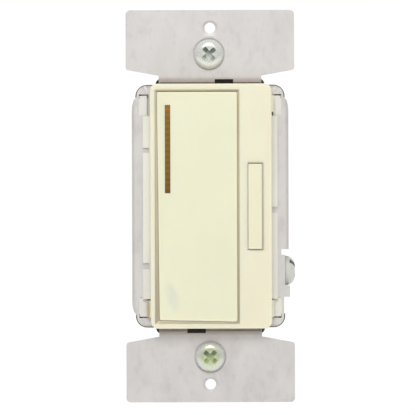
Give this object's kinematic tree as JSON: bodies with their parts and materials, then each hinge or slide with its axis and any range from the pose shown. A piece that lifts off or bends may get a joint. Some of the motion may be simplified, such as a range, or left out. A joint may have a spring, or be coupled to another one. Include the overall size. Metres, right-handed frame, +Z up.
{
  "type": "wall dimmer switch",
  "caption": "Single-gang wall dimmer with a large push pad, a light bar and a slim brighten/dim rocker in a clip-on frame on a metal heat-sink strap.",
  "frame": {"origin": "middle of the strap's rear face, midway between the cover-plate screw holes", "axes": "+X right, +Z up along the strap, the front faces -Y, into the wall is +Y"},
  "size_m": [0.046, 0.0379, 0.1066],
  "materials": {
    "black": "matte",
    "blue": "epoxy coat",
    "board": "solder mask",
    "brass_part": "plain",
    "can": "sleeved can",
    "copper": "enamelled copper",
    "core": "painted powder iron",
    "fibre": "vulcanised fibre",
    "film": "moulded case",
    "green_screw": "green zinc",
    "grey": "thermal pad",
    "ivory": "satin",
    "led": "clear lens",
    "lens": "translucent amber",
    "steel": "plain",
    "strap": "brushed",
    "white": "matte",
    "zinc_screw": "yellow-green zinc"
  },
  "bodies": {
    "chassis": {"mounting_strap": "strap", "bezel_frame": "ivory", "front_carrier": "white", "hinge_rod": "steel", "rocker_pin": "steel", "inner_tray": "white", "rear_housing": "black", "line_terminal": "brass_part", "load_terminal": "brass_part", "traveler_terminal": "brass_part", "control_board": "board", "power_board": "board", "board_header": "black", "pad_switch": "black", "brighten_switch": "black", "dim_switch": "black", "level_leds": "led", "light_baffle": "white", "microcontroller": "black", "triac_insulator": "grey", "triac": "black", "triac_screw": "steel", "choke_core": "core", "choke_winding": "copper", "film_capacitor": "film", "electrolytic_capacitor": "can", "varistor": "blue", "fusible_resistor": "core", "snubber_capacitor": "film", "screw_retainer_upper": "fibre", "screw_retainer_lower": "fibre", "air_gap_contact_left": "copper", "air_gap_contact_right": "copper"},
    "cradle": {"pad_cradle": "white", "air_gap_bridge": "copper"},
    "pad": {"push_pad": "ivory", "light_bar_lens": "lens"},
    "rocker": {"dimming_rocker": "ivory"},
    "pad_stem": {"pad_plunger": "white"},
    "brighten_stem": {"brighten_plunger": "white"},
    "dim_stem": {"dim_plunger": "white"},
    "upper_box_screw": {"box_screw_upper": "zinc_screw"},
    "lower_box_screw": {"box_screw_lower": "zinc_screw"},
    "ground_fastener": {"ground_screw": "green_screw"},
    "line_fastener": {"line_screw": "brass_part"},
    "load_fastener": {"load_screw": "brass_part"},
    "traveler_fastener": {"traveler_screw": "steel"}
  },
  "joints": [
    {"name": "cradle_pull", "type": "hinge", "parent": "chassis", "child": "cradle", "pos_m": [0, -0.0043, 0.0286], "axis": [1, 0, 0], "range_deg": [-4, 0]},
    {"name": "pad_press", "type": "hinge", "parent": "cradle", "child": "pad", "pos_m": [0, -0.0043, 0.0286], "axis": [1, 0, 0], "range_deg": [0, 1.2], "stiffness_Nm_per_rad": 4},
    {"name": "rocker_tilt", "type": "hinge", "parent": "chassis", "child": "rocker", "pos_m": [0.01215, -0.0044, -0.00012], "axis": [1, 0, 0], "range_deg": [-3, 3], "stiffness_Nm_per_rad": 0.4},
    {"name": "pad_stem_travel", "type": "slide", "parent": "chassis", "child": "pad_stem", "axis": [0, 1, 0], "range_m": [0, 0.00052]},
    {"name": "brighten_stem_travel", "type": "slide", "parent": "chassis", "child": "brighten_stem", "axis": [0, 1, 0], "range_m": [-0.00043, 0.00043]},
    {"name": "dim_stem_travel", "type": "slide", "parent": "chassis", "child": "dim_stem", "axis": [0, 1, 0], "range_m": [-0.00043, 0.00043]},
    {"name": "upper_box_screw_turn", "type": "hinge", "parent": "chassis", "child": "upper_box_screw", "pos_m": [-0.00025, -0.0013, 0.04132], "axis": [0, 1, 0], "continuous": true},
    {"name": "lower_box_screw_turn", "type": "hinge", "parent": "chassis", "child": "lower_box_screw", "pos_m": [-0.0001, -0.0013, -0.04095], "axis": [0, 1, 0], "continuous": true},
    {"name": "ground_screw_turn", "type": "hinge", "parent": "chassis", "child": "ground_fastener", "pos_m": [0.02035, 0.0046, -0.0176], "axis": [-1, 0, 0], "continuous": true},
    {"name": "line_screw_turn", "type": "hinge", "parent": "chassis", "child": "line_fastener", "pos_m": [-0.01645, 0.017, 0.013], "axis": [1, 0, 0], "continuous": true},
    {"name": "load_screw_turn", "type": "hinge", "parent": "chassis", "child": "load_fastener", "pos_m": [-0.01645, 0.017, -0.013], "axis": [1, 0, 0], "continuous": true},
    {"name": "traveler_screw_turn", "type": "hinge", "parent": "chassis", "child": "traveler_fastener", "pos_m": [0.01645, 0.017, 0.013], "axis": [-1, 0, 0], "continuous": true}
  ],
  "couplings": [
    {"joint": "pad_stem_travel", "follows": "pad_press", "m_per_rad": 0.024},
    {"joint": "brighten_stem_travel", "follows": "rocker_tilt", "m_per_rad": -0.008},
    {"joint": "dim_stem_travel", "follows": "rocker_tilt", "m_per_rad": 0.008}
  ]
}
